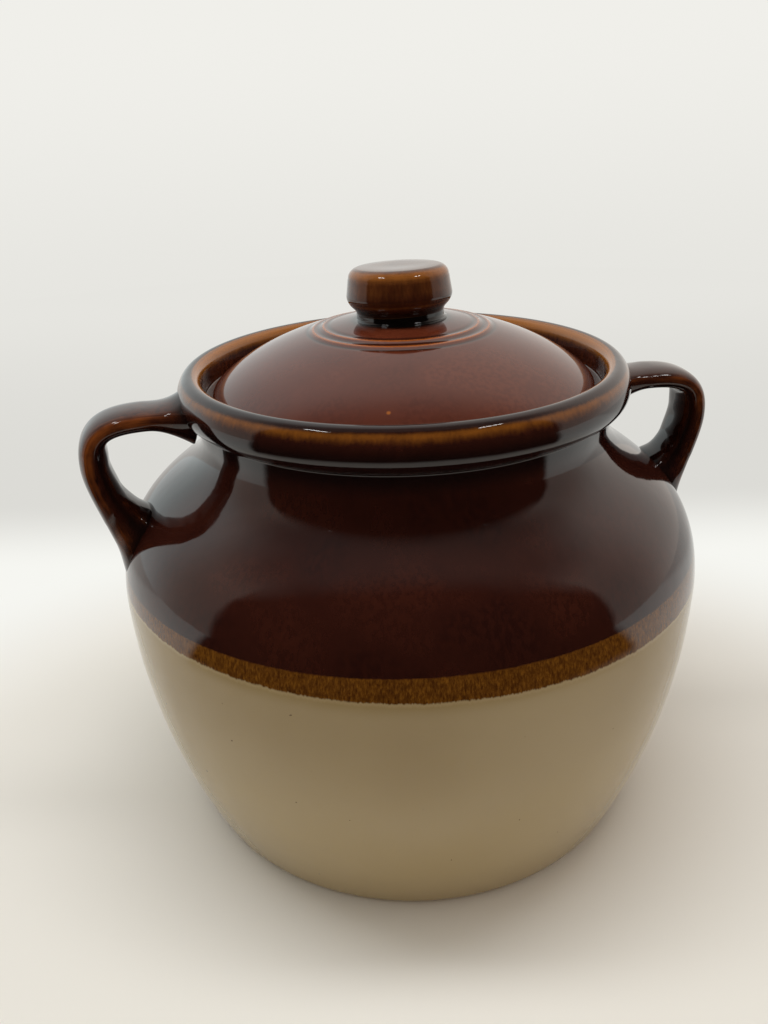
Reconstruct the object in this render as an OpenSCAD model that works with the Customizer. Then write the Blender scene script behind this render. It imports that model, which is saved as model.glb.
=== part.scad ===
// Stoneware bean pot: a thrown jar with a round belly, a narrow neck and a rolled
// collar, two pulled finger handles luted to it, and a loose domed lid with a
// turned knob. The lid drops inside the rim and rests on a ledge, the gallery.
// Millimetres, +Z up. The origin is the centre of the base and the handles lie
// along X, the right one on +X.

/* [Pot] */
// Height from the base to the top of the rim
pot_h = 161.5; // [140:0.5:194]
// Diameter of the belly at its widest
belly_d = 204; // [170:1:246]
// Height of the widest part of the belly
belly_z = 88; // [72:1:106]
// Diameter of the flat base
base_d = 169; // [140:1:203]
// Diameter of the neck groove under the collar
neck_d = 140; // [128:1:168]
// Thickness of the wall
wall = 6; // [4:0.5:8]
// Thickness of the floor
floor_t = 8; // [5:0.5:12]
// Radius of the inside corner between the wall and the floor
floor_round = 18; // [8:1:26]
// Bevel round the bottom edge
foot_bevel = 1.6; // [0.5:0.1:3]

/* [Collar and rim] */
// Height of the rolled collar, from the groove to the top of the rim
collar_h = 14; // [12:0.5:18]
// Height of the plain groove between the shoulder and the collar
groove_h = 5.5; // [4:0.5:10]
// How far the outer crest of the rim stands out past the groove
collar_out = 5; // [3:0.5:7]
// Width of the rim from its outer crest to its inner wall
rim_w = 7.7; // [6:0.1:9.3]
// Depth of the gallery ledge below the top of the rim
gallery_depth = 9.5; // [7.5:0.5:11.5]
// Width of the gallery ledge
gallery_w = 8; // [6:0.5:10]
// Thickness of the ledge at its inner edge
gallery_t = 3.6; // [2.5:0.1:5]

/* [Handles] */
// Width of the strap
handle_w = 19; // [12:0.5:24]
// Thickness of the strap outside its side ridge
handle_outer_t = 4; // [3:0.1:6]
// Thickness of the strap inside its side ridge
handle_inner_t = 3.6; // [2.5:0.1:5]
// Depth of the clay worked in under the strap's root, below the ridge
handle_root_t = 12; // [8:0.5:13]
// Depth of the clay worked in behind the strap's foot, inside the ridge
handle_foot_t = 9.5; // [7:0.5:11.5]
// Width of the strap's tip, where it is smeared on to the belly
handle_tip_w = 9; // [5:0.5:14]
// How far the strap's side ridge stands out past the belly
handle_reach = 2.7; // [0:0.1:8]
// Height of the strap's root below the top of the rim
handle_drop = 11.5; // [9.5:0.5:15]
// Height of the handle from its root to its foot
handle_h = 51; // [43:1:61]
// Turn of each handle towards the front, where the potter set it by eye
handle_swing = 5; // [0:0.5:8]
// How much lower the right handle sits than the left one
handle_step = 3; // [0:0.5:5]

/* [Lid] */
// Gap all round between the lid and the rim
lid_gap = 2.8; // [1.5:0.1:4]
// Height of the lid's upright edge before the dome turns in
lid_edge_h = 3.5; // [2:0.1:5]
// Rise of the dome from the ledge to the knob
lid_rise = 22.6; // [18:0.2:28]
// Thickness of the dome at its middle
lid_t = 6; // [4.5:0.1:8]
// Width of the flat ring on the lid's underside that rests on the ledge
lid_seat_w = 7; // [5:0.5:9]
// Radius of the outer of the two raised rings round the knob
ring_r = 29.5; // [25:0.5:36]
// Distance between the two raised rings
ring_pitch = 3.6; // [3:0.1:5]
// Height of the raised rings above the dome
ring_h = 0.4; // [0.3:0.1:1]

/* [Knob] */
// Diameter of the knob at its widest
knob_d = 34.4; // [28:0.2:42]
// Diameter of the knob across its top edge
knob_top_d = 32.6; // [26:0.2:38]
// Diameter of the neck under the knob
knob_neck_d = 29.2; // [22:0.2:33]
// Height of the knob above the lid
knob_h = 16.8; // [13:0.2:21]
// Height of the neck under the knob
knob_neck_h = 2.8; // [2:0.1:4]
// Height of the widest part of the knob above the lid
knob_wide_h = 6.6; // [5.5:0.1:8]
// Radius of the knob's top edge
knob_round = 3.2; // [1.5:0.1:4]
// Lean of the knob off upright, in degrees
knob_lean = 1.8; // [0:0.1:3]
// Compass direction that the knob leans to, in degrees from +X
knob_lean_to = 127; // [0:1:359]

/* [Hidden] */
$fn = 120;

pot_colour = "#8a7656";
glaze_colour = "#4a2a1e";
lid_colour = "#6a463a";
knob_colour = "#6b3e17";

belly_r = belly_d / 2;
base_r = base_d / 2;
neck_r = neck_d / 2;
groove_top = pot_h - collar_h;
neck_z = groove_top - groove_h;

// The shoulder leaves the belly upright and sweeps up in a wide cove to the neck.
shoulder_pull = 0.72;
neck_tuck = 0.5;
neck_run = 18;
// The inside of the shoulder lies lower, so that the slope keeps the wall's thickness.
inner_drop = 0.42 * wall;

// The outer crest is a little lower than the inner lip, and the collar's face rolls out past it.
crest_r = neck_r + collar_out;
crest_round = 2.6;
crest_z = pot_h - 0.2;
collar_roll = 1.5;
collar_under_rise = 0.4;
collar_face_drop = 3.4;
lip_round = 2.4;
lip_in = 2.2;
rim_in_r = crest_r - rim_w;
rim_flare = 0.5;
rim_flare_h = 4;
gallery_z = pot_h - gallery_depth;
gallery_r = rim_in_r - gallery_w;

lid_r = rim_in_r - lid_gap;
lid_seat_r = lid_r - lid_seat_w;
lid_top = gallery_z + lid_rise;
lid_bevel = 0.8;
lid_edge_foot = 1;
// The dome's shoulder, as a share of the lid's radius, and how far it lies below the top.
dome_pull = 0.71;
dome_drop = 4.3;
// The same for the underside, with the height that it rises upright from the seat.
under_pull = 0.66;
under_drop = 0.6;
under_rise = 4.5;
pad_margin = 0.8;
pad_r = knob_neck_d / 2 + pad_margin;
knob_edge = 0.8;
knob_edge_h = 0.9;
knob_cut = 2;

handle_rings = 16;
handle_sides = 20;
handle_squareness = 0.8;
// The strap starts inside the collar and its tip ends inside the wall, under its skin.
handle_root_in = 4;
handle_tip_sink = 4.8;
handle_tip_t = 3.3;
root_z = pot_h - handle_drop;
tip_z = root_z - handle_h;
// The strap points straight down at the bend, a share of its height below the root.
bend_share = 0.235;
bend_z = root_z - bend_share * handle_h;
// It leaves the collar rising a little, and these set how round its two curves are.
root_rise = 4;
root_pull = 31.5;
bend_pull_up = 13;
bend_pull_down = 0.24;
foot_pull_up = 0.37;

// A point on the cubic curve with end points a, d and control points b, c.
function curve(a, b, c, d, t) =
    pow(1 - t, 3) * a + 3 * pow(1 - t, 2) * t * b + 3 * (1 - t) * t * t * c + t * t * t * d;
// The direction of that curve, in degrees.
function curve_heading(a, b, c, d, t) =
    let (v = pow(1 - t, 2) * (b - a) + 2 * (1 - t) * t * (c - b) + t * t * (d - c)) atan2(v.y, v.x);
function curve_points(a, b, c, d, n, first = 0) = [for (i = [first:n]) curve(a, b, c, d, i / n)];
function arc_points(centre, r, from, to, n) =
    [for (i = [0:n]) let (a = from + (to - from) * i / n) centre + r * [cos(a), sin(a)]];

// Radius of the lower wall at height z, inset by t: the belly swells as a parabola.
function belly_curve_r(z, t = 0) = belly_r - t - (belly_r - base_r) * pow((belly_z - z) / belly_z, 2);

function shoulder_points(inset, drop, n) =
    let (
        start = [belly_r - inset, belly_z],
        pull = [belly_r - inset, belly_z + shoulder_pull * (neck_z - belly_z) - drop],
        tuck = [neck_r - inset - neck_tuck, neck_z - neck_run - drop],
        end = [neck_r - inset, neck_z - drop]
    ) curve_points(start, pull, tuck, end, n, 1);

outer_wall = concat(
    [[base_r - foot_bevel, 0], [belly_curve_r(foot_bevel), foot_bevel]],
    [for (i = [1:10]) let (z = belly_z * i / 10) [belly_curve_r(z), z]],
    shoulder_points(0, 0, 16)
);

// The collar rolls out of the groove to the outer crest, and the rim dips a little before
// the inner lip.
collar_outline = concat(
    [[neck_r, groove_top]],
    curve_points(
        [neck_r, groove_top],
        [crest_r + collar_roll, groove_top + collar_under_rise],
        [crest_r + collar_roll, crest_z - crest_round - collar_face_drop],
        [crest_r, crest_z - crest_round],
        9, 1
    ),
    arc_points([crest_r - crest_round, crest_z - crest_round], crest_round, 20, 85, 4),
    arc_points([rim_in_r + rim_flare + lip_in, pot_h - lip_round], lip_round, 75, 175, 5)
);

// The inside, from the rim down over the gallery ledge, the shoulder and the belly to the floor.
corner_z = floor_t + floor_round;
corner_r = belly_curve_r(corner_z, wall);
inner_wall = concat(
    [[rim_in_r + rim_flare / 2, gallery_z + rim_flare_h], [rim_in_r, gallery_z]],
    [[gallery_r, gallery_z]],
    [[gallery_r, gallery_z - gallery_t]],
    [for (i = [15:-1:0]) shoulder_points(wall, inner_drop, 16)[i]],
    [for (i = [10:-1:1]) let (z = corner_z + (belly_z - corner_z) * i / 10) [belly_curve_r(z, wall), z]],
    arc_points([corner_r - floor_round, corner_z], floor_round, 0, -90, 8),
    [[0, floor_t], [0, 0]]
);

// Everything inside the pot's outer skin, which the handles are cut back from.
module pot_outside() {
    rotate_extrude()
        polygon(concat(outer_wall, collar_outline, [[0, pot_h], [0, 0]]));
}

module pot_body() {
    color(pot_colour)
        rotate_extrude()
            polygon(concat(outer_wall, collar_outline, inner_wall));
}

// The ridge along the strap's sides, in the plane of radius and height: out and over, then
// down to the foot.
wall_skin = [for (p = outer_wall) [p.y, p.x]];
over = [
    [neck_r - handle_root_in, root_z],
    [neck_r - handle_root_in + root_pull, root_z + root_rise],
    [belly_r + handle_reach, bend_z + bend_pull_up],
    [belly_r + handle_reach, bend_z]
];
down = [
    over[3],
    [belly_r + handle_reach, bend_z - bend_pull_down * (bend_z - tip_z)],
    [lookup(tip_z, wall_skin) - handle_tip_sink, tip_z + foot_pull_up * (bend_z - tip_z)],
    [lookup(tip_z, wall_skin) - handle_tip_sink, tip_z]
];
// How the strap's width and its two thicknesses run along it: 0 is the root, 1 the bend and
// 2 the tip.
strap_widths = [[0, handle_w], [1.6, handle_w], [2, handle_tip_w]];
strap_outer_ts = [[0, handle_outer_t], [1.6, handle_outer_t], [2, handle_tip_t]];
strap_inner_ts = [
    [0, handle_root_t], [0.2, handle_inner_t + 0.8], [0.3, handle_inner_t], [0.55, handle_inner_t],
    [0.95, handle_inner_t + 1.8], [1.3, handle_inner_t + 2.2], [1.44, handle_inner_t + 3],
    [1.56, handle_foot_t], [1.75, handle_foot_t], [2, handle_tip_t]
];

// One ring of the strap: across is Y, and its two half thicknesses stand square to the ridge.
function strap_ring(p, s, heading) =
    let (
        w = lookup(s, strap_widths),
        outer_t = lookup(s, strap_outer_ts),
        inner_t = lookup(s, strap_inner_ts)
    )
    [
        for (i = [0:handle_sides - 1])
            let (
                a = 360 * i / handle_sides,
                across = w / 2 * sign(cos(a)) * pow(abs(cos(a)), handle_squareness),
                off = (sin(a) > 0 ? outer_t : -inner_t) * pow(abs(sin(a)), handle_squareness)
            )
            [p.x - off * sin(heading), across, p.y + off * cos(heading)]
    ];
function strap_rings(c, s0, first) = [
    for (i = [first:handle_rings])
        let (t = i / handle_rings)
        strap_ring(
            curve(c[0], c[1], c[2], c[3], t), s0 + t, curve_heading(c[0], c[1], c[2], c[3], t)
        )
];

module strap() {
    rings = concat(strap_rings(over, 0, 0), strap_rings(down, 1, 1));
    last = len(rings) - 1;
    n = handle_sides;
    polyhedron(
        points = [for (ring = rings) each ring],
        faces = concat(
            [[for (i = [0:n - 1]) i]],
            [[for (i = [n - 1:-1:0]) last * n + i]],
            [
                for (k = [0:last - 1], i = [0:n - 1])
                    [k * n + i, (k + 1) * n + i, (k + 1) * n + (i + 1) % n, k * n + (i + 1) % n]
            ]
        )
    );
}

// A handle on +X, lowered by drop and turned by swing, with the pot's skin cut away from it.
module handle(swing, drop) {
    color(glaze_colour)
        difference() {
            rotate([0, 0, swing])
                translate([0, 0, -drop])
                    strap();
            pot_outside();
        }
}

module handle_left() {
    handle(180 + handle_swing, 0);
}

module handle_right() {
    handle(-handle_swing, handle_step);
}

// The dome's upper side: an upright edge that rolls over into a low dome.
dome = [
    [lid_r, gallery_z + lid_edge_foot],
    [lid_r, gallery_z + lid_edge_foot + lid_edge_h],
    [dome_pull * lid_r, lid_top - dome_drop],
    [pad_r, lid_top]
];
dome_top = curve_points(dome[0], dome[1], dome[2], dome[3], 22, 1);
dome_skin = [for (i = [len(dome_top) - 1:-1:0]) [dome_top[i].x, dome_top[i].y]];

module raised_ring(r) {
    rotate_extrude()
        translate([r, lookup(r, dome_skin) + ring_h - ring_pitch / 4])
            circle(r = ring_pitch / 4, $fn = 24);
}

module lid() {
    lid_under = curve_points(
        [lid_seat_r, gallery_z],
        [lid_seat_r, gallery_z + under_rise],
        [under_pull * lid_seat_r, lid_top - lid_t - under_drop],
        [0, lid_top - lid_t],
        16
    );
    color(lid_colour)
        union() {
            rotate_extrude()
                polygon(concat(
                    [[lid_r - lid_bevel, gallery_z], [lid_r, gallery_z + lid_bevel]],
                    dome_top,
                    [[0, lid_top]],
                    [for (i = [16:-1:0]) lid_under[i]]
                ));
            raised_ring(ring_r);
            raised_ring(ring_r - ring_pitch);
        }
}

// The knob stands flat on the lid's pad: it is turned, leant over and sliced level. Its foot
// reaches past the slice, so that the slice is whole.
module lid_knob() {
    side_lean = atan2((knob_d - knob_top_d) / 2, knob_h - knob_round - knob_wide_h);
    outline = concat(
        [[0, -knob_cut], [knob_neck_d / 2, -knob_cut], [knob_neck_d / 2, knob_neck_h]],
        [[knob_d / 2 - knob_edge, knob_wide_h - knob_edge_h], [knob_d / 2, knob_wide_h]],
        arc_points([knob_top_d / 2 - knob_round, knob_h - knob_round], knob_round, side_lean, 84, 6),
        [[0, knob_h]]
    );
    color(knob_colour)
        intersection() {
            translate([0, 0, lid_top])
                rotate([0, 0, knob_lean_to])
                    rotate([0, knob_lean, 0])
                        rotate_extrude()
                            polygon(outline);
            translate([0, 0, lid_top])
                cylinder(r = knob_d, h = 2 * knob_h);
        }
}

pot_body();
handle_left();
handle_right();
lid();
lid_knob();
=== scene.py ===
"""A stoneware bean pot with two strap handles and a loose domed lid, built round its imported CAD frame."""

import math

import bmesh
import bpy
from mathutils import Matrix, Vector, noise
from mathutils.bvhtree import BVHTree
from mathutils.geometry import interpolate_bezier


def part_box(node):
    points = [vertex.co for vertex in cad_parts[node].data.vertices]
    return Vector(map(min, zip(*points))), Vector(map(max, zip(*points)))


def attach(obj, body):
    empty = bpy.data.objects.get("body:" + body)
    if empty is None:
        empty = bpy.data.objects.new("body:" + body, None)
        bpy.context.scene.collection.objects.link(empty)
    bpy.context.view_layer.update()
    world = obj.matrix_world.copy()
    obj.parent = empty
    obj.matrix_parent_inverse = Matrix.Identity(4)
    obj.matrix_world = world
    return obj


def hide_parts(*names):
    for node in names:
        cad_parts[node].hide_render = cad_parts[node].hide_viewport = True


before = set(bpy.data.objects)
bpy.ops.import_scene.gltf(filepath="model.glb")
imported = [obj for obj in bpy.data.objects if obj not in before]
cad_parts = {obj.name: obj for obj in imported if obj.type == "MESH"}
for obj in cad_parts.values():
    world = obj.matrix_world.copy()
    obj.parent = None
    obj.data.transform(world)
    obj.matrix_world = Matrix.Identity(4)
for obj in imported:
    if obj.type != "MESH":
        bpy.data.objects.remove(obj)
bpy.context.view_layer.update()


# Pot body
# A stoneware jar thrown on a wheel, its collar rolled over by hand. It is glazed cream but for
# the foot that it stood on in the kiln, then dipped mouth down in brown glaze, which ends in an
# amber band of fine runs and thins to amber on both sides of the rim.
pot_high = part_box("pot_body")[1]
belly_r = pot_high.x
rim_z = pot_high.z
belly_z = 0.088
belly_rings = 44
base_r = 0.0845
base_ring_r = 0.04
foot_bevel = 0.0016
neck_r = 0.070
neck_z = 0.142
neck_tuck = 0.0005
neck_run = 0.018
shoulder_pull = 0.72
collar_z = 0.1475
collar_roll = 0.0015
collar_lip = 0.0004
collar_face_drop = 0.0034
crest_r = 0.075
crest_foot_z = 0.158
crest_lean = 0.0007
crest_pull_z = 0.1596
rim_top_r = 0.0712
rim_top_out = 0.0018
rim_top_in = 0.002
rim_in_r = 0.0673
throat_flare = 0.0003
throat_z = 0.158
throat_pull_z = 0.16
throat_foot = 0.0012
gallery_z = 0.152
gallery_r = 0.0593
gallery_t = 0.0036
wall = 0.006
floor_t = 0.008
floor_round = 0.018
floor_ring_r = 0.03
inner_rings = 20
inner_drop = 0.42 * wall
soft_edge = 0.0008


def arc(centre, radius, start, end, steps):
    """Points of an outline on an arc, whose angles are in degrees."""
    angles = [math.radians(start + (end - start) * i / steps) for i in range(steps + 1)]
    return [Vector((centre[0] + radius * math.cos(a), centre[1] + radius * math.sin(a))) for a in angles]


def sweep(start, pull, tuck, end, steps):
    """Points of an outline on a cubic curve, without its first point."""
    knots = [Vector(p) for p in (start, pull, tuck, end)]
    return interpolate_bezier(*knots, steps + 1)[1:]


def straight(start, end, steps):
    """Points of an outline on a straight line, without its first point."""
    return [Vector(start).lerp(Vector(end), i / steps) for i in range(1, steps + 1)]


def belly_curve_r(z, inset=0.0):
    """The lower wall's radius at a height: the belly swells as a parabola."""
    return belly_r - inset - (belly_r - base_r) * ((belly_z - z) / belly_z) ** 2


def shoulder(inset, drop, steps):
    """The shoulder's outline from the belly up to the neck, for the outside or the inside."""
    rise = shoulder_pull * (neck_z - belly_z)
    return sweep(
        (belly_r - inset, belly_z),
        (belly_r - inset, belly_z + rise - drop),
        (neck_r - inset - neck_tuck, neck_z - neck_run - drop),
        (neck_r - inset, neck_z - drop),
        steps,
    )


def plateau(value, low, low_full, high_full, high):
    """0 up to low, 1 from low_full to high_full, 0 from high on, and straight between."""
    rising = (value - low) / (low_full - low)
    falling = (high - value) / (high - high_full)
    return max(0.0, min(1.0, rising, falling))


def turned(outline, steps):
    """A mesh of an outline of (radius, height) points, turned once round Z."""
    bm = bmesh.new()
    verts = [bm.verts.new((p[0], 0, p[1])) for p in outline]
    edges = [bm.edges.new(pair) for pair in zip(verts, verts[1:])]
    bmesh.ops.spin(
        bm, geom=verts + edges, cent=(0, 0, 0), axis=(0, 0, 1), dvec=(0, 0, 0), angle=math.tau,
        steps=steps, use_merge=True, use_normal_flip=False, use_duplicate=False,
    )
    bmesh.ops.remove_doubles(bm, verts=bm.verts, dist=1e-6)
    bmesh.ops.recalc_face_normals(bm, faces=bm.faces)
    return bm


def soften(bm, corners, radius):
    """Rounds the turned edges that lie on these (radius, height) corners of the outline."""
    def on_corner(vert):
        place = Vector((vert.co.xy.length, vert.co.z))
        return any((place - Vector(c)).length < 1e-5 for c in corners)
    picked = [e for e in bm.edges if on_corner(e.verts[0]) and on_corner(e.verts[1])]
    bmesh.ops.bevel(
        bm, geom=picked, offset=radius, offset_type="OFFSET", affect="EDGES", segments=4,
        profile=0.5, material=-1, clamp_overlap=True,
    )


def glaze_depth(bm, thin, pool_and_shade):
    """Marks where the glaze lies thin, and where it has pooled or shade is painted, 0 to 1, by radius and
    height.
    """
    thin_layer = bm.verts.layers.float.new("thin")
    pool_and_shade_layer = bm.verts.layers.float.new("pool_and_shade")
    for vert in bm.verts:
        r, z = vert.co.xy.length, vert.co.z
        vert[thin_layer] = thin(r, z)
        vert[pool_and_shade_layer] = pool_and_shade(r, z)


def hand_thrown(bm, depth, rings, ring_depth):
    """Draws the wall in by up to depth, more on one side than on the other, with throwing rings of
    up to ring_depth, as no pot turns quite true."""
    for vert in bm.verts:
        r = vert.co.xy.length
        if r < 0.002:
            continue
        slow = 0.5 + 0.5 * noise.noise(Vector((vert.co.x * 9, vert.co.y * 9, vert.co.z * 7)))
        lines = 0.5 + 0.5 * noise.noise(Vector((vert.co.x * 4, vert.co.y * 4, vert.co.z * rings)))
        pulled = depth * slow + ring_depth * lines
        vert.co.x *= 1 - pulled / r
        vert.co.y *= 1 - pulled / r


def finished(name, bm, materials, body, node):
    """The piece as an object: smooth, on its body, and in the place of its CAD node."""
    mesh = bpy.data.meshes.new(name)
    for face in bm.faces:
        face.smooth = True
    bm.to_mesh(mesh)
    bm.free()
    for material in materials:
        mesh.materials.append(material)
    piece = bpy.data.objects.new(name, mesh)
    bpy.context.scene.collection.objects.link(piece)
    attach(piece, body)
    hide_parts(node)
    return piece


belly_heights = [belly_z * i / belly_rings for i in range(2, belly_rings + 1)]
outer_outline = (
    [Vector((0, 0)), Vector((base_ring_r, 0)), Vector((base_r - foot_bevel, 0))]
    + [Vector((belly_curve_r(foot_bevel), foot_bevel))]
    + [Vector((belly_curve_r(z), z)) for z in belly_heights]
    + shoulder(0, 0, 48)
)
collar_outline = (
    straight((neck_r, neck_z), (neck_r, collar_z), 4)
    + sweep(
        (neck_r, collar_z),
        (crest_r + collar_roll, collar_z + collar_lip),
        (crest_r + collar_roll, crest_foot_z - collar_face_drop),
        (crest_r, crest_foot_z),
        24,
    )
    + sweep(
        (crest_r, crest_foot_z),
        (crest_r - crest_lean, crest_pull_z),
        (rim_top_r + rim_top_out, rim_z),
        (rim_top_r, rim_z),
        14,
    )
    + sweep(
        (rim_top_r, rim_z),
        (rim_top_r - rim_top_in, rim_z),
        (rim_in_r + throat_flare, throat_pull_z),
        (rim_in_r + throat_flare, throat_z),
        14,
    )
)
corner_z = floor_t + floor_round
corner_r = belly_curve_r(corner_z, wall)
inner_heights = [belly_z - (belly_z - corner_z) * i / inner_rings for i in range(inner_rings + 1)]
inner_outline = (
    straight((rim_in_r + throat_flare, throat_z), (rim_in_r, gallery_z + throat_foot), 9)
    + [Vector((rim_in_r, gallery_z)), Vector((gallery_r, gallery_z))]
    + [Vector((gallery_r, gallery_z - gallery_t))]
    + shoulder(wall, inner_drop, 30)[::-1]
    + [Vector((belly_curve_r(z, wall), z)) for z in inner_heights]
    + arc((corner_r - floor_round, corner_z), floor_round, 0, -90, 12)[1:]
    + [Vector((floor_ring_r, floor_t)), Vector((0, floor_t))]
)
pot = turned(outer_outline + collar_outline + inner_outline, steps=304)
pot_corners = (
    (base_r - foot_bevel, 0), (belly_curve_r(foot_bevel), foot_bevel),
    (rim_in_r, gallery_z), (gallery_r, gallery_z), (gallery_r, gallery_z - gallery_t),
)
soften(pot, pot_corners, soft_edge)


# Heights and radii between which the glaze is amber, and those between which it has pooled;
# under the collar that dark is also painted shade.
outer_amber_r = 0.0728
outer_amber = (0.1562, 0.1592, 0.1598, 0.1607)
outer_amber_share = 0.68
inner_amber_r = 0.0708
inner_amber_z = 0.1562
inner_amber_fade = 0.0009
inner_amber_rise = 0.0032
crest_pool_z = 0.1590
crest_pool = (0.0700, 0.0711, 0.0732, 0.0743)
crest_pool_share = 0.55
# The darkening under the collar is pooled glaze and painted shade.
collar_pool_and_shade_r = 0.0690
collar_pool_and_shade = (0.1400, 0.1445, 0.1535, 0.1572)
collar_pool_and_shade_share = 0.75


def rim_thin(r, z):
    """Amber runs down both sides of the rim, under a dark crest."""
    if r > outer_amber_r:
        return outer_amber_share * plateau(z, *outer_amber)
    inward = (inner_amber_r - r) / inner_amber_fade
    upward = (z - inner_amber_z) / inner_amber_rise
    return max(0.0, min(1.0, inward, upward))


def rim_pool_and_shade(r, z):
    """Thick glaze on the crest; on the collar's lower face and in the groove under it, pooled glaze and
    painted shade.
    """
    if z > crest_pool_z:
        return crest_pool_share * plateau(r, *crest_pool)
    return collar_pool_and_shade_share * plateau(z, *collar_pool_and_shade) if r > collar_pool_and_shade_r else 0.0


glaze_depth(pot, rim_thin, rim_pool_and_shade)
liner_index = 1
clay_index = 2
liner_edge_r = neck_r - 0.0006
for face in pot.faces:
    middle = face.calc_center_median()
    r = middle.xy.length
    inward = face.normal.xy.dot(middle.xy) < 0
    if middle.z < 0.0012 and face.normal.z < -0.5:
        face.material_index = clay_index
    elif middle.z > floor_t - 0.001 and (inward or r < gallery_r + 0.004) and r < liner_edge_r:
        face.material_index = liner_index
    elif liner_edge_r <= r < belly_r - 0.004 and inward and middle.z < neck_z - 0.004:
        face.material_index = liner_index
hand_thrown(pot, depth=0.00025, rings=160, ring_depth=0.00012)
pot_skin = BVHTree.FromBMesh(pot)


def add(tree, kind, inputs=None, **settings):
    """Adds a shader node. Its inputs are numbers, colours or other nodes' sockets."""
    made = tree.nodes.new("ShaderNode" + kind)
    for name, value in settings.items():
        setattr(made, name, value)
    for name, value in (inputs or {}).items():
        if isinstance(value, bpy.types.NodeSocket):
            tree.links.new(value, made.inputs[name])
        else:
            made.inputs[name].default_value = value
    return made


def reckon(tree, operation, a, b, c=0.0):
    """The result of one Math node."""
    return add(tree, "Math", {0: a, 1: b, 2: c}, operation=operation).outputs[0]


def fade(tree, value, low, high):
    """0 where the value is under low, 1 where it is over high, and smooth between."""
    inputs = {"Value": value, "From Min": low, "From Max": high}
    return add(tree, "MapRange", inputs, interpolation_type="SMOOTHSTEP").outputs["Result"]


def between(tree, factor, a, b):
    """Colour a where the factor is 0 and colour b where it is 1."""
    return add(tree, "Mix", {0: factor, 6: a, 7: b}, data_type="RGBA").outputs[2]


def grain(tree, scale, detail=3.0, stretch=(1, 1, 1), roughness=0.5, along=None):
    """Noise from 0 to 1 over the piece, with scale features a metre, longer where stretch is small.
    It lies in the piece's own space, or in the space that a vertex layer gives."""
    place = add(tree, "TexCoord").outputs["Object"]
    if along:
        place = add(tree, "Attribute", attribute_name=along).outputs["Vector"]
    mapped = add(tree, "Mapping", {"Vector": place, "Scale": stretch}).outputs[0]
    inputs = {"Vector": mapped, "Scale": scale, "Detail": detail, "Roughness": roughness}
    return add(tree, "TexNoise", inputs).outputs["Fac"]


def colour(red, green, blue):
    """A colour as a screen shows it, from 0 to 255, turned into the shader's own."""
    def linear(c):
        c /= 255
        return c / 12.92 if c <= 0.04045 else ((c + 0.055) / 1.055) ** 2.4
    return (linear(red), linear(green), linear(blue), 1.0)


def new_material(name):
    """An empty material with its shader, and the shader's tree."""
    material = bpy.data.materials.new(name)
    material.use_nodes = True
    tree = material.node_tree
    return material, tree, tree.nodes["Principled BSDF"]


def glassy(tree, shader, low, high, ripple, peel):
    """The glassy coat of a glaze: roughness that varies from low to high, with a slow ripple and a
    fine orange peel, whose depths are in metres."""
    gloss = grain(tree, 140, 4)
    inputs = {"Value": gloss, "From Min": 0.3, "From Max": 0.7, "To Min": low, "To Max": high}
    rough = add(tree, "MapRange", inputs)
    tree.links.new(rough.outputs["Result"], shader.inputs["Roughness"])
    slow = add(tree, "Bump", {"Height": grain(tree, 55, 2), "Strength": 1.0, "Distance": ripple})
    fine = grain(tree, 420, 2)
    inputs = {"Height": fine, "Strength": 1.0, "Distance": peel, "Normal": slow.outputs[0]}
    tree.links.new(add(tree, "Bump", inputs).outputs[0], shader.inputs["Normal"])
    shader.inputs["IOR"].default_value = 1.5


def fleck(tree, tone, place, size, fleck_tone):
    """A small round fleck of another colour at one place on the piece."""
    here = add(tree, "TexCoord").outputs["Object"]
    away = add(tree, "VectorMath", {0: here, 1: place}, operation="DISTANCE").outputs["Value"]
    return between(tree, fade(tree, away, size, 0.4 * size), tone, fleck_tone)


brown = colour(47, 20, 14)
brown_dark = colour(39, 16, 12)
brown_red = colour(56, 25, 17)
amber = colour(134, 80, 26)
# Nearly black: pooled glaze, and painted shade where the pool layer marks it.
pool_and_shade_black = colour(13, 9, 9)


def either_way(tree, noise, reach):
    """Noise from 0 to 1 as a change of up to half of reach either way."""
    return reckon(tree, "MULTIPLY_ADD", noise, reach, -0.5 * reach)


def brown_glaze(tree, base, deep, warm, thin_tone, spread, along=None):
    """The brown glaze's colour: finely mottled, amber in streaks where the thin layer says that it
    has run off an edge, and nearly black where the pool layer says it lies thick or shade is painted."""
    slow = between(tree, fade(tree, grain(tree, 40, 3), 0.35, 0.68), deep, warm)
    body = between(tree, fade(tree, grain(tree, 700, 3, (1, 1, 0.4)), 0.40, 0.62), slow, base)
    thin = add(tree, "Attribute", attribute_name="thin").outputs["Fac"]
    patches = either_way(tree, grain(tree, 240, 4, along=along), spread)
    streaks = either_way(tree, grain(tree, 1100, 3, (1, 1, 0.14), 0.6, along), 0.9 * spread)
    thinned = reckon(tree, "ADD", thin, reckon(tree, "ADD", patches, streaks))
    runs = between(tree, fade(tree, thinned, 0.15, 1.05), body, thin_tone)
    # The pool layer holds pooled glaze and, at the joints, the knob's neck and under the collar, painted
    # shade.
    pool_and_shade = add(tree, "Attribute", attribute_name="pool_and_shade").outputs["Fac"]
    return between(tree, pool_and_shade, runs, pool_and_shade_black)


# The band's two edges lie on planes that tilt a little, because the pot was dipped by hand.
cream_edge_z = 0.0932
cream_edge_tilt = (-0.015, -0.015)
brown_edge_z = 0.1003
brown_edge_tilt = (0.005, -0.019)
cream = colour(158, 138, 98)
cream_shade = colour(150, 129, 89)
cream_pale = colour(166, 147, 110)
cream_halo = colour(178, 160, 124)
halo_share = 0.5
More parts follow.
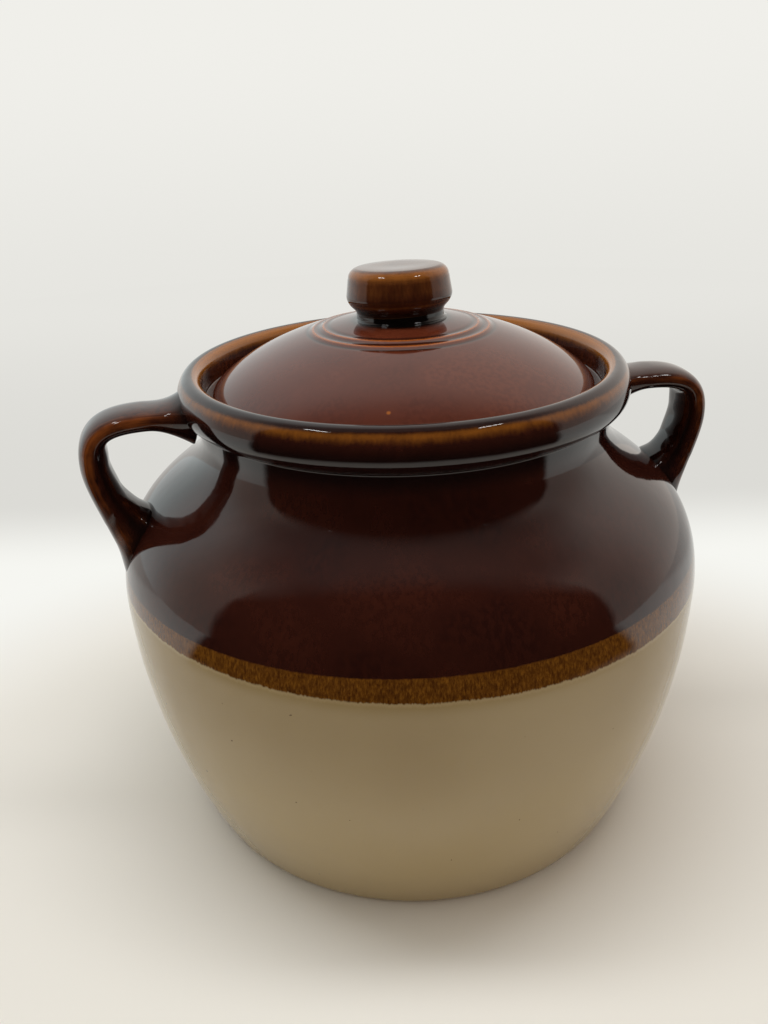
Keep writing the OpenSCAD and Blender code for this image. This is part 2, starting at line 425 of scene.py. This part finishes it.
# Painted floor bounce: the cream is made lighter towards the foot, standing in for light thrown up from the
# floor.
cream_painted_bounce = colour(172, 152, 111)
painted_bounce_from = 0.085
painted_bounce_to = 0.035
painted_bounce_share = 0.8
band_light = colour(130, 84, 26)
band_mid = colour(97, 59, 17)
band_dark = colour(60, 30, 8)
band_mottle = 0.55
comb_reach = 0.0014
drip_reach = 0.0010
brown_edge_share = 0.35
speck = colour(96, 74, 46)
body_fleck = (0.0215, -0.0865, 0.1165)
fleck_r = 0.0009


def height_over(tree, z, tilt):
    """How high a point lies over a plane through height z that tilts along X and Y."""
    place = add(tree, "TexCoord").outputs["Object"]
    axes = add(tree, "SeparateXYZ", {0: place}).outputs
    level = reckon(tree, "MULTIPLY_ADD", axes[0], tilt[0], z)
    level = reckon(tree, "MULTIPLY_ADD", axes[1], tilt[1], level)
    return reckon(tree, "SUBTRACT", axes[2], level)


def dipped_glaze():
    """The pot's outside: cream below, lighter near the foot as painted floor bounce, the amber band,
    and brown above.
    """
    material, tree, shader = new_material("cream_and_brown_glaze")
    ground = between(tree, fade(tree, grain(tree, 16, 3), 0.3, 0.7), cream_shade, cream)
    ground = between(tree, fade(tree, grain(tree, 10, 2), 0.45, 0.75), ground, cream_pale)
    # Painted floor bounce: lighter cream towards the foot.
    low = fade(tree, height_over(tree, 0, (0, 0)), painted_bounce_from, painted_bounce_to)
    ground = between(tree, reckon(tree, "MULTIPLY", low, painted_bounce_share), ground, cream_painted_bounce)
    ground = between(tree, fade(tree, grain(tree, 560, 1), 0.80, 0.83), ground, speck)

    run = (1, 1, 0.15)
    comb = either_way(tree, grain(tree, 1500, 3, run, 0.6), comb_reach)
    drips = either_way(tree, grain(tree, 230, 2, run), drip_reach)
    ragged = reckon(tree, "ADD", comb, drips)
    over_cream = reckon(tree, "ADD", height_over(tree, cream_edge_z, cream_edge_tilt), ragged)
    halo = fade(tree, over_cream, -0.0014, -0.0002)
    ground = between(tree, reckon(tree, "MULTIPLY", halo, halo_share), ground, cream_halo)

    streaks = grain(tree, 1800, 4, (1, 1, 0.25), 0.75)
    band = between(tree, fade(tree, streaks, 0.30, 0.52), band_dark, band_mid)
    band = between(tree, fade(tree, streaks, 0.48, 0.72), band, band_light)
    mottle = fade(tree, grain(tree, 620, 3, (1, 1, 0.6)), 0.50, 0.68)
    band = between(tree, reckon(tree, "MULTIPLY", mottle, band_mottle), band, band_dark)
    lower = between(tree, fade(tree, over_cream, -0.0003, 0.0004), ground, band)
    slight = reckon(tree, "MULTIPLY", ragged, brown_edge_share)
    over_brown = reckon(tree, "ADD", height_over(tree, brown_edge_z, brown_edge_tilt), slight)
    dark = brown_glaze(tree, brown, brown_dark, brown_red, amber, spread=0.45)
    dark = fleck(tree, dark, body_fleck, fleck_r, amber)
    whole = between(tree, fade(tree, over_brown, -0.0003, 0.0003), lower, dark)
    tree.links.new(whole, shader.inputs["Base Color"])
    glassy(tree, shader, low=0.04, high=0.09, ripple=0.00015, peel=0.000010)
    return material


def liner_glaze():
    """The pot's inside, which is brown all over."""
    material, tree, shader = new_material("liner_glaze")
    tones = (brown_red, brown, colour(84, 40, 22), colour(150, 92, 34))
    tone = brown_glaze(tree, *tones, spread=0.4)
    tree.links.new(tone, shader.inputs["Base Color"])
    glassy(tree, shader, low=0.06, high=0.14, ripple=0.0001, peel=0.000012)
    return material


def bare_clay():
    """The unglazed foot: buff stoneware with fine grit."""
    material, tree, shader = new_material("bare_stoneware")
    buff, pale_buff, dark_grit = colour(166, 148, 118), colour(192, 176, 146), colour(98, 78, 56)
    grit = grain(tree, 900, 5, roughness=0.7)
    tone = between(tree, fade(tree, grit, 0.35, 0.7), buff, pale_buff)
    tone = between(tree, fade(tree, grain(tree, 1300, 1), 0.70, 0.76), tone, dark_grit)
    tree.links.new(tone, shader.inputs["Base Color"])
    shader.inputs["Roughness"].default_value = 0.85
    bump = add(tree, "Bump", {"Height": grit, "Strength": 1.0, "Distance": 0.0002})
    tree.links.new(bump.outputs[0], shader.inputs["Normal"])
    return material


clay = bare_clay()
pot_materials = [dipped_glaze(), liner_glaze(), clay]
finished("pot_shell", pot, pot_materials, "pot", "pot_body")


# Handles
# Each handle is a strap of soft clay pulled by hand, arched from the collar to the belly and
# luted on at both ends with slip. Its sides carry a seam. The glaze runs off their outer edges
# to amber, and lies nearly black in the seam and where the strap meets the pot, which also has
# painted shade.
handle_w = 0.019
outer_t = 0.0039
inner_t = 0.0035
root_t = 0.0088
foot_t = 0.0094
tip_w = 0.009
tip_t = 0.0033
handle_out = belly_r + 0.0026
root_sink = 0.001
root_z = 0.150
root_pull = (0.0275, 0.004)
bend_z = 0.138
bend_pull = 0.013
tip_z = 0.099
tip_sink = 0.0048
over_steps = 40
down_steps = 50
handle_swing = 5
handle_step = 0.003
section_points = 48
section_round = 0.8
seam_depth = 0.0007
crack_depth = 0.0003

# Where the marks lie round the section: 90 degrees is the ridge and -90 the inside of the loop.
edge_amber = (-12, 0, 24, 66)
inner_amber_line = (-62, -50, -44, -36)
inner_amber_share = 0.7
seam_line = (-40, -30, -24, -12)
seam_pool = 0.8
crack_line = (-20, -5, 30, 50)


def at_station(stations, t):
    """A size that runs along the strap, from (place, size) stations: 0 root, 1 bend, 2 tip."""
    for (t0, size0), (t1, size1) in zip(stations, stations[1:]):
        if t <= t1:
            share = max(0.0, (t - t0) / (t1 - t0))
            share = share * share * (3 - 2 * share)
            return size0 + (size1 - size0) * share
    return stations[-1][1]


strap_widths = [(0, handle_w), (1.6, handle_w), (2, tip_w)]
strap_outer = [(0, outer_t), (1.6, outer_t), (2, tip_t)]
strap_inner = [
    (0, root_t), (0.22, inner_t + 0.0002), (0.55, inner_t), (0.95, inner_t + 0.0018),
    (1.3, inner_t + 0.0024), (1.58, foot_t), (1.75, foot_t), (2, tip_t),
]
strap_warmth = [(0, 0.55), (0.5, 0.85), (0.9, 1.0), (1.3, 0.6), (2, 0.75)]


def strap_section(t, mark, glow):
    """The strap's section at a place along it: for each point round it, how far it lies across
    and off the ridge, and how thin the glaze is and how far it has pooled there."""
    w, out, inn = at_station(strap_widths, t), at_station(strap_outer, t), at_station(strap_inner, t)
    warmth = glow * at_station(strap_warmth, t)
    points = []
    for i in range(section_points):
        a = 360 * i / section_points
        c, s = math.cos(math.radians(a)), math.sin(math.radians(a))
        lean = math.degrees(math.asin(s))
        seam = plateau(lean, *seam_line)
        crack = mark * plateau(lean, *crack_line) * (c < 0)
        half = w / 2 - seam_depth * seam - crack_depth * crack
        across = half * math.copysign(abs(c) ** section_round, c)
        off = (out if s > 0 else inn) * math.copysign(abs(s) ** section_round, s)
        amber_lines = plateau(lean, *edge_amber), inner_amber_share * plateau(lean, *inner_amber_line)
        points.append((across, off, warmth * max(amber_lines), max(seam_pool * seam, crack)))
    return points


def strap_line():
    """Places along the strap's ridge, in the plane of radius and height, each with its heading."""
    over = [Vector(p) for p in (
        (neck_r - root_sink, root_z), (neck_r + root_pull[0], root_z + root_pull[1]),
        (handle_out, bend_z + bend_pull), (handle_out, bend_z),
    )]
    fall = bend_z - tip_z
    foot_r = belly_curve_r(tip_z) - tip_sink
    down = [Vector(p) for p in (
        (handle_out, bend_z), (handle_out, bend_z - 0.24 * fall),
        (foot_r, tip_z + 0.37 * fall), (foot_r, tip_z),
    )]
    line = [(p, i / over_steps) for i, p in enumerate(interpolate_bezier(*over, over_steps + 1))]
    lower = interpolate_bezier(*down, down_steps + 1)
    line += [(p, 1 + i / down_steps) for i, p in enumerate(lower)][1:]
    headed = []
    for i, (p, t) in enumerate(line):
        ahead = line[min(i + 1, len(line) - 1)][0] - line[max(i - 1, 0)][0]
        headed.append((p, t, ahead.normalized()))
    return headed


flare_reach = 0.0055
flare_out = 0.0034
sunk = 0.0008
smoothings = 10
# Where the strap meets the pot it is darkened: pooled glaze and painted shade.
joint_pool_and_shade = 0.85
joint_pool_and_shade_reach = 0.004
strap_length = 0.055
mottle_shift = 0.1
crack_half = 0.002
crack_edge = 0.012


def strap(swing, drop, crack_at, glow):
    """A handle's mesh: the section is carried along the ridge and flared on to the pot, and what
    reaches into the wall is kept just under its skin. A glaze crack crosses it at crack_at. The
    layer "unbent" gives each point's place on the strap as if it were straight, and moved over by
    its glow, so that the two handles aren't mottled alike."""
    bm = bmesh.new()
    thin_layer = bm.verts.layers.float.new("thin")
    pool_and_shade_layer = bm.verts.layers.float.new("pool_and_shade")
    unbent = bm.verts.layers.float_vector.new("unbent")
    line = strap_line()
    turn = Matrix.Rotation(math.radians(swing), 4, "Z")
    ring = bmesh.ops.create_circle(bm, cap_ends=False, radius=0.01, segments=section_points)["verts"]
    edges = list(bm.edges)
    for step, (p, t, ahead) in enumerate(line):
        if step:
            made = bmesh.ops.extrude_edge_only(bm, edges=edges)["geom"]
            edges = [e for e in made if isinstance(e, bmesh.types.BMEdge)]
            fresh = [v for v in made if isinstance(v, bmesh.types.BMVert)]
            ring = [min(fresh, key=lambda v: (v.co - old.co).length) for old in ring]
        near = t - crack_at
        mark = plateau(near, -crack_edge, -crack_half, crack_half, crack_edge)
        for vert, (across, off, thin, pool_and_shade) in zip(ring, strap_section(t, mark, glow)):
            vert.co = turn @ Vector((p.x - off * ahead.y, across, p.y + off * ahead.x - drop))
            vert[unbent] = Vector((across + mottle_shift * glow, off, 0.5 * t * strap_length))
            vert[thin_layer] = thin
            vert[pool_and_shade_layer] = pool_and_shade
    bmesh.ops.holes_fill(bm, edges=bm.edges, sides=section_points)
    bmesh.ops.recalc_face_normals(bm, faces=bm.faces)

    centres = [turn @ Vector((p.x, 0, p.y - drop)) for p, t, ahead in line]
    joint = []
    for vert in bm.verts:
        place, normal = pot_skin.find_nearest(vert.co)[:2]
        height = (vert.co - place).dot(normal)
        if height < -sunk:
            vert.co = place - normal * sunk
        elif height < 2 * flare_reach:
            joint.append(vert)
        height = max(height, 0.0)
        core = min(centres, key=lambda c: (c - vert.co).length)
        away = vert.co - core
        away -= normal * away.dot(normal)
        if away.length > 1e-6:
            vert.co += away.normalized() * flare_out * max(0.0, 1 - height / flare_reach) ** 2
        # Pooled glaze and painted shade where the strap meets the pot.
        pooled_and_shaded = joint_pool_and_shade * max(0.0, 1 - height / joint_pool_and_shade_reach) ** 1.2
        vert[pool_and_shade_layer] = max(vert[pool_and_shade_layer], pooled_and_shaded)
    for repeat in range(smoothings):
        bmesh.ops.smooth_vert(
            bm, verts=joint, factor=0.5, use_axis_x=True, use_axis_y=True, use_axis_z=True,
        )
    return bm


def handle_glaze():
    """The brown glaze on the straps."""
    material, tree, shader = new_material("handle_glaze")
    tones = (colour(50, 22, 14), colour(36, 15, 11), colour(66, 31, 17), colour(118, 62, 26))
    tone = brown_glaze(tree, *tones, spread=1.0, along="unbent")
    tree.links.new(tone, shader.inputs["Base Color"])
    glassy(tree, shader, low=0.05, high=0.10, ripple=0.0001, peel=0.00001)
    return material


# Each handle: its bearing in degrees, how much lower it sits, where along it the glaze is cracked,
# and how amber its edges are.
strap_glaze = handle_glaze()
no_crack = 9
straps = (
    ("left", 180 + handle_swing, 0, 0.93, 0.72),
    ("right", -handle_swing, handle_step, no_crack, 0.5),
)
for side, swing, drop, crack_at, glow in straps:
    shape = strap(swing, drop, crack_at, glow)
    node = "handle_" + side
    handle_piece = finished("strap_" + node, shape, [strap_glaze], "pot", node)
    smooth = handle_piece.modifiers.new("smooth", "SUBSURF")
    smooth.levels = 1
    smooth.render_levels = 1


# Lid
# A thrown dome with an upright edge that drops inside the rim and rests on the ledge. Two raised
# rings were turned round the knob, and the seat under it is left bare, so that it doesn't stick
# in the kiln.
lid_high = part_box("lid")[1]
lid_r = lid_high.x
lid_top = lid_high.z
lid_seat_r = lid_r - 0.007
lid_edge_round = 0.0008
lid_t = 0.006
pad_r = 0.0154
pad_flat_r = 0.008
ring_r = 0.0295
ring_pitch = 0.0036
ring_h = 0.00032
groove_depth = 0.00012
ring_spread = 0.00048
ring_lines = (ring_r, ring_r - ring_pitch)
groove_lines = (ring_r + ring_pitch / 2, ring_r - ring_pitch / 2, ring_r - 1.5 * ring_pitch)
groove_pool = 0.9
# The dark in the corner under the knob is pooled glaze and painted shade.
pad_pool_and_shade = 0.9
pad_pool_and_shade_from = 0.0156
pad_pool_and_shade_to = 0.0175
lid_middle_z = lid_top - 0.006
dome_edge_z = gallery_z + 0.001


def turned_line(r, line):
    """1 on a line that was turned into the dome, fading to 0 on both sides of it."""
    return math.exp(-(((r - line) / ring_spread) ** 2))


def ringed(point):
    """A point of the dome with the two raised rings and the grooves beside them."""
    rise = 0.0
    for line in ring_lines:
        rise += ring_h * turned_line(point.x, line)
    for line in groove_lines:
        rise -= groove_depth * turned_line(point.x, line)
    return Vector((point.x, point.y + rise))


dome_curve = [Vector(p) for p in (
    (lid_r, dome_edge_z), (lid_r, dome_edge_z + 0.0035),
    (0.71 * lid_r, lid_top - 0.0043), (pad_r, lid_top),
)]
under_curve = [Vector(p) for p in (
    (0, lid_top - lid_t), (0.66 * lid_seat_r, lid_top - lid_t - 0.0006),
    (lid_seat_r, gallery_z + 0.0045), (lid_seat_r, gallery_z),
)]
lid_outline = (
    interpolate_bezier(*under_curve, 31)
    + arc((lid_r - lid_edge_round, gallery_z + lid_edge_round), lid_edge_round, -90, 0, 4)
    + [ringed(p) for p in interpolate_bezier(*dome_curve, 141)][1:]
    + [Vector((pad_flat_r, lid_top)), Vector((0, lid_top))]
)
lid = turned(lid_outline, steps=288)
soften(lid, [(lid_seat_r, gallery_z)], radius=0.0006)


def lid_thin(r, z):
    """The glaze has run off the two raised rings."""
    if z < lid_middle_z:
        return 0.0
    return max(turned_line(r, line) for line in ring_lines)


def lid_pool_and_shade(r, z):
    """It lies thick in the three grooves beside them, and in the corner under the knob, with painted shade.
    """
    if z < lid_middle_z:
        return 0.0
    groove = groove_pool * max(turned_line(r, line) for line in groove_lines)
    return max(groove, pad_pool_and_shade * plateau(r, -1, 0, pad_pool_and_shade_from, pad_pool_and_shade_to))


glaze_depth(lid, lid_thin, lid_pool_and_shade)
for face in lid.faces:
    middle = face.calc_center_median()
    if middle.z < gallery_z + 0.0002 and face.normal.z < -0.9:
        face.material_index = 1
hand_thrown(lid, depth=0.0002, rings=150, ring_depth=0.00008)
lid_fleck = (-0.0165, -0.0545, 0.1605)


def lid_glaze():
    """The lid's glaze, redder and thinner than the pot's, amber on its rings."""
    material, tree, shader = new_material("lid_glaze")
    tones = (colour(82, 36, 21), colour(74, 31, 17), colour(92, 43, 26), colour(156, 84, 28))
    tone = brown_glaze(tree, *tones, spread=0.3)
    tone = fleck(tree, tone, lid_fleck, fleck_r, colour(150, 84, 30))
    tree.links.new(tone, shader.inputs["Base Color"])
    glassy(tree, shader, low=0.045, high=0.09, ripple=0.00006, peel=0.000008)
    return material


finished("domed_lid", lid, [lid_glaze(), clay], "lid", "lid")


# Knob
# The knob was turned on its own, luted to the middle of the lid and leans a little. Its glaze
# is mottled amber round the top edge and the lower bevel, and has run down into a black ring at
# its neck, which is darkened further as painted shade under the knob.
knob_r = 0.0175
knob_top_r = 0.0166
knob_neck_r = 0.0146
knob_h = 0.0167
knob_neck_h = 0.0028
knob_wide_h = 0.0066
knob_round = 0.0034
knob_lean = 1.8
knob_lean_to = 127
knob_sink = 0.0008
cove = 0.0009
neck_top = (knob_neck_r, knob_neck_h - 0.0004)
bevel_top = (knob_r - 0.0007, knob_wide_h - 0.0010)
side_foot = (knob_r, knob_wide_h + 0.0014)

knob_outline = (
    [Vector((0, -knob_sink)), Vector((knob_neck_r + cove, -knob_sink))]
    + arc((knob_neck_r + cove, cove), cove, 270, 180, 6)
    + straight((knob_neck_r, cove), neck_top, 3)
    + sweep(
        neck_top, (knob_neck_r, knob_neck_h + 0.0008), (knob_r - 0.0013, knob_wide_h - 0.0022),
        bevel_top, 10,
    )
    + sweep(
        bevel_top, (knob_r - 0.0002, knob_wide_h - 0.0002), (knob_r, knob_wide_h + 0.0002),
        side_foot, 8,
    )
    + straight(side_foot, (knob_top_r + 0.0001, knob_h - knob_round), 8)
    + arc((knob_top_r - knob_round, knob_h - knob_round), knob_round, 4, 86, 16)
    + [Vector((0.009, knob_h)), Vector((0.004, knob_h - 0.00015)), Vector((0, knob_h - 0.0002))]
)
knob = turned(knob_outline, steps=192)

# Heights on the knob between which its glaze is amber, and how far up its neck the pool and painted shade
# reach.
top_amber = (0.0118, 0.0146, 0.0158, 0.0170)
side_amber = (0.0050, 0.0100, 0.0170, 0.0180)
bevel_amber = (0.0048, 0.0055, 0.0059, 0.0068)
least_amber = 0.15
# The dark at the knob's neck is pooled glaze and painted shade under the knob.
neck_pool_and_shade_full = 0.0026
neck_pool_and_shade_top = 0.0048


def knob_thin(r, h):
    """Amber round the top edge and along the lower bevel, and faintly all over."""
    top = 0.75 * plateau(h, *top_amber)
    side = 0.34 * plateau(h, *side_amber)
    bevel = 0.4 * plateau(h, *bevel_amber)
    return max(least_amber, top, side, bevel)


def knob_pool_and_shade(r, h):
    """The glaze ran down the neck and stands in its corner; the dark there is also painted shade."""
    return max(0.0, min(1.0, (neck_pool_and_shade_top - h) / (neck_pool_and_shade_top - neck_pool_and_shade_full)))


glaze_depth(knob, knob_thin, knob_pool_and_shade)
hand_thrown(knob, depth=0.00012, rings=120, ring_depth=0.00006)
knob_place = (
    Matrix.Translation((0, 0, lid_top))
    @ Matrix.Rotation(math.radians(knob_lean_to), 4, "Z")
    @ Matrix.Rotation(math.radians(knob_lean), 4, "Y")
)
bmesh.ops.transform(knob, matrix=knob_place, verts=knob.verts)


def knob_glaze():
    """The knob's glaze, browner than the lid's and mottled amber."""
    material, tree, shader = new_material("knob_glaze")
    tones = (colour(66, 31, 17), colour(55, 25, 15), colour(80, 40, 21), colour(150, 92, 40))
    tone = brown_glaze(tree, *tones, spread=0.3)
    tree.links.new(tone, shader.inputs["Base Color"])
    glassy(tree, shader, low=0.05, high=0.10, ripple=0.00012, peel=0.000012)
    return material


finished("turned_knob", knob, [knob_glaze()], "lid", "lid_knob")


# Studio
# The pot stands on plain pale paper that runs back into a pale surround. The light is soft: a
# long lamp overhead, pale walls at both sides, and less from behind and from the dim room in
# front, which the glaze mirrors. Small lamps half a metre off give the glints.
camera_turn = -12.75
camera_distance = 0.2765
camera_height = 0.2335
camera_pitch = 25.23
camera_yaw = -1.68
camera_roll = -2.34
lens = 29.11

floor_r = 1.2
floor_gap = 0.0001
paper = colour(236, 233, 227)
paper_pale = colour(239, 237, 231)
# Painted backdrop light: lit paper just behind the pot, and painted shade where it curves up.
paper_glow_lit = colour(246, 246, 241)
paper_glow_shade = colour(220, 219, 214)
paper_far = colour(230, 229, 224)
backdrop_top = colour(240, 239, 234)
room_edge = 0.22
room_fade = 0.09
room_dark = (0.012, 0.009, 0.008, 1)
opening_side = 75

# How far off the floor begins to glow as backdrop, and how far behind the pot its tones change.
glow_near = 0.17
glow_far = 0.33
curve_near = 0.15
curve_far = 0.25
backdrop_far = 0.95


def paper_material():
    """The floor's paper. Behind the pot it glows as the backdrop that it runs up into, so that no
    edge shows, and the glaze sees it end where the dim room in front begins. The glow is painted
    light: lit paper near the pot, and painted shade where it curves up."""
    material, tree, shader = new_material("floor_paper")
    tone = between(tree, fade(tree, grain(tree, 1.5, 2), 0.35, 0.65), paper, paper_pale)
    tree.links.new(tone, shader.inputs["Base Color"])
    shader.inputs["Roughness"].default_value = 0.9
    shader.inputs["Specular IOR Level"].default_value = 0.2
    place = add(tree, "TexCoord").outputs["Object"]
    out = add(tree, "VectorMath", {0: place}, operation="LENGTH").outputs["Value"]
    heading = math.radians(camera_turn)
    forward = (math.sin(heading), -math.cos(heading), 0)
    ahead = add(tree, "VectorMath", {0: place, 1: forward}, operation="DOT_PRODUCT").outputs["Value"]
    behind = reckon(tree, "MULTIPLY", ahead, -1.0)
    # Painted light near the pot, then painted shade where the paper curves up.
    glow = between(tree, fade(tree, behind, curve_near, curve_far), paper_glow_lit, paper_glow_shade)
    glow = between(tree, fade(tree, behind, curve_far, backdrop_far), glow, paper_far)
    path = add(tree, "LightPath").outputs
    seen = reckon(tree, "MAXIMUM", path["Is Camera Ray"], path["Is Glossy Ray"])
    seen = reckon(tree, "MAXIMUM", seen, path["Is Transmission Ray"])
    beyond = reckon(tree, "MULTIPLY_ADD", behind, 0.6, out)
    seen = reckon(tree, "MULTIPLY", seen, fade(tree, beyond, glow_near, glow_far))
    light = add(tree, "Emission", {"Color": glow, "Strength": 1.0}).outputs[0]
    far = add(tree, "MixShader", {0: seen, 1: shader.outputs[0], 2: light})
    cosine = reckon(tree, "DIVIDE", ahead, reckon(tree, "MAXIMUM", out, 0.001))
    edge = math.cos(math.radians(opening_side))
    front = fade(tree, cosine, edge - 0.02, edge + 0.06)
    front = reckon(tree, "MULTIPLY", front, fade(tree, out, room_edge, room_edge + room_fade))
    mirrored = reckon(tree, "MULTIPLY", path["Is Glossy Ray"], front)
    dark = add(tree, "Emission", {"Color": room_dark, "Strength": 1.0}).outputs[0]
    ends = add(tree, "MixShader", {0: mirrored, 1: far.outputs[0], 2: dark})
    tree.links.new(ends.outputs[0], tree.nodes["Material Output"].inputs["Surface"])
    return material


floor = bmesh.new()
under_base = Matrix.Translation((0, 0, -floor_gap))
bmesh.ops.create_circle(floor, cap_ends=True, radius=floor_r, segments=128, matrix=under_base)
floor_mesh = bpy.data.meshes.new("studio_floor")
floor.to_mesh(floor_mesh)
floor.free()
floor_mesh.materials.append(paper_material())
floor_piece = bpy.data.objects.new("studio_floor", floor_mesh)
bpy.context.scene.collection.objects.link(floor_piece)

# The long lamp overhead gives the pot its shadow. The glaze doesn't mirror it.
turn = Matrix.Rotation(math.radians(camera_turn), 4, "Z")
overhead_size = (0.9, 0.12)
overhead_power = 3.05
overhead_place = (-0.08, -0.015, 0.75)
overhead_data = bpy.data.lights.new("lamp_overhead", "AREA")
overhead_data.shape = "RECTANGLE"
overhead_data.size, overhead_data.size_y = overhead_size
overhead_data.energy = overhead_power
overhead = bpy.data.objects.new("lamp_overhead", overhead_data)
overhead.matrix_world = turn @ Matrix.Translation(overhead_place)
overhead.visible_glossy = False
overhead.visible_camera = False
bpy.context.scene.collection.objects.link(overhead)

# Each row of small lamps makes one kind of glint: where it points, in metres, its bearing and
# rise from there and the width of its cone in degrees, its lamps' radius, power and number. They
# stand glint_spacing radii apart.
glint_reach = 0.5
glint_spacing = 2.3
glint_blend = 0.05
glint_rows = (
    ("lamp_left", (0.005, -0.04, 0.165), -61, 52, 10.6, 0.008, 0.07, 5),
    ("lamp_right", (0, -0.04, 0.17), 57, 50, 10.4, 0.008, 0.07, 5),
    ("lamp_left_knob", (-0.0055, -0.0145, 0.190), -57, 52, 4, 0.035, 1.0, 2),
    ("lamp_right_knob", (0.005, -0.0140, 0.190), 57, 50, 4, 0.035, 1.0, 2),
    ("lamp_left_strap", (-0.0868, -0.0366, 0.1536), -62, 74, 5, 0.05, 1.5, 2),
    ("lamp_right_strap", (0.085, 0.003, 0.1505), 58, 62, 6, 0.045, 1.3, 3),
)
for name, target, bearing, rise, cone, radius, power, count in glint_rows:
    up, swing = math.radians(rise), math.radians(bearing)
    aim = Vector((math.sin(swing) * math.cos(up), -math.cos(swing) * math.cos(up), math.sin(up)))
    along = Vector((math.cos(swing), math.sin(swing), 0))
    for i in range(count):
        data = bpy.data.lights.new(name, "SPOT")
        data.energy = power
        data.shadow_soft_size = radius
        data.spot_size = math.radians(cone)
        data.spot_blend = glint_blend
        lamp = bpy.data.objects.new(name, data)
        ray = aim * glint_reach + along * (i - (count - 1) / 2) * glint_spacing * radius
        lamp.location = turn @ (ray + Vector(target))
        lamp.rotation_euler = (turn @ -ray).to_track_quat("-Z", "Y").to_euler()
        lamp.visible_diffuse = False
        bpy.context.scene.collection.objects.link(lamp)

back_glow = 0.86
side_glow = 0.60
roof_glow = 0.17
horizon_light = 0.70
zenith_light = 0.80
front_light = 0.37
back_light = 0.35
left_tint = (1.04, 1.12, 1.11, 1)
right_tint = (1.12, 1.05, 0.97, 1)
low_tint = (1.0, 0.86, 0.77, 1)
front_tint = (1.0, 0.80, 0.62, 1)
opening_top = 3.0

world = bpy.data.worlds.new("surround")
bpy.context.scene.world = world
world.use_nodes = True
sky = world.node_tree
direction = add(sky, "TexCoord").outputs["Generated"]
inputs = {"Vector": direction, "Angle": math.radians(-camera_turn)}
turned_sky = add(sky, "VectorRotate", inputs, rotation_type="Z_AXIS").outputs[0]
axes = add(sky, "SeparateXYZ", {0: turned_sky}).outputs
ahead = reckon(sky, "MULTIPLY", axes[1], -1.0)
bearing = reckon(sky, "DEGREES", reckon(sky, "ARCTAN2", axes[0], ahead), 0.0)
across = between(sky, fade(sky, axes[0], -0.6, 0.6), left_tint, right_tint)


def scaled(tint, level):
    """A colour at a level between 0 and 1."""
    return add(sky, "VectorMath", {0: tint, "Scale": level}, operation="SCALE").outputs[0]


def shared(factor, a, b):
    """Number a where the factor is 0 and number b where it is 1."""
    return add(sky, "MapRange", {"Value": factor, "To Min": a, "To Max": b}).outputs[0]


# What the glaze mirrors: the dim room in front, a weaker roof, and pale walls all round.
above = reckon(sky, "MULTIPLY_ADD", ahead, -opening_top, axes[2])
under_top = fade(sky, above, 0.40, -0.40)
inside_left = fade(sky, bearing, -opening_side - 2, -opening_side + 2)
inside_right = fade(sky, bearing, opening_side + 4, opening_side)
opening = reckon(sky, "MULTIPLY", under_top, reckon(sky, "MULTIPLY", inside_left, inside_right))
walls = shared(fade(sky, ahead, 0.15, -0.5), side_glow, back_glow)
roof = reckon(sky, "MULTIPLY", fade(sky, axes[2], 0.55, 0.85), fade(sky, ahead, -0.45, 0.05))
level = add(sky, "Mix", {0: roof, 2: walls, 3: roof_glow}).outputs[0]
warm = reckon(sky, "MULTIPLY", fade(sky, ahead, -0.45, -0.05), fade(sky, axes[2], 0.98, 0.6))
gloss = between(sky, opening, scaled(between(sky, warm, across, low_tint), level), room_dark)

# What lights it: a soft dome, brightest at the sides, weaker behind, and weak and warm in front.
dome = shared(fade(sky, axes[2], -0.1, 1.0), horizon_light, zenith_light)
in_front = fade(sky, ahead, -0.1, 0.85)
dome = reckon(sky, "MULTIPLY", dome, shared(in_front, 1.0, front_light))
dome = reckon(sky, "MULTIPLY", dome, shared(fade(sky, ahead, -0.8, -0.1), back_light, 1.0))
light = scaled(between(sky, in_front, across, front_tint), dome)
path = add(sky, "LightPath").outputs
mirrored = reckon(sky, "MAXIMUM", path["Is Glossy Ray"], path["Is Transmission Ray"])
seen = between(sky, mirrored, light, gloss)
backdrop = between(sky, fade(sky, axes[2], -0.20, 0.10), paper_far, backdrop_top)
seen = between(sky, path["Is Camera Ray"], seen, backdrop)
sky.links.new(seen, sky.nodes["Background"].inputs["Color"])
sky.nodes["Background"].inputs["Strength"].default_value = 1.0

camera_data = bpy.data.cameras.new("camera")
camera_data.lens = lens
camera = bpy.data.objects.new("camera", camera_data)
bpy.context.scene.collection.objects.link(camera)
aim = (
    Matrix.Rotation(math.radians(-camera_yaw), 4, "Z")
    @ Matrix.Rotation(math.radians(90 - camera_pitch), 4, "X")
    @ Matrix.Rotation(math.radians(camera_roll), 4, "Z")
)
camera.matrix_world = turn @ Matrix.Translation((0, -camera_distance, camera_height)) @ aim
bpy.context.scene.camera = camera
bpy.context.scene.view_settings.view_transform = "Standard"
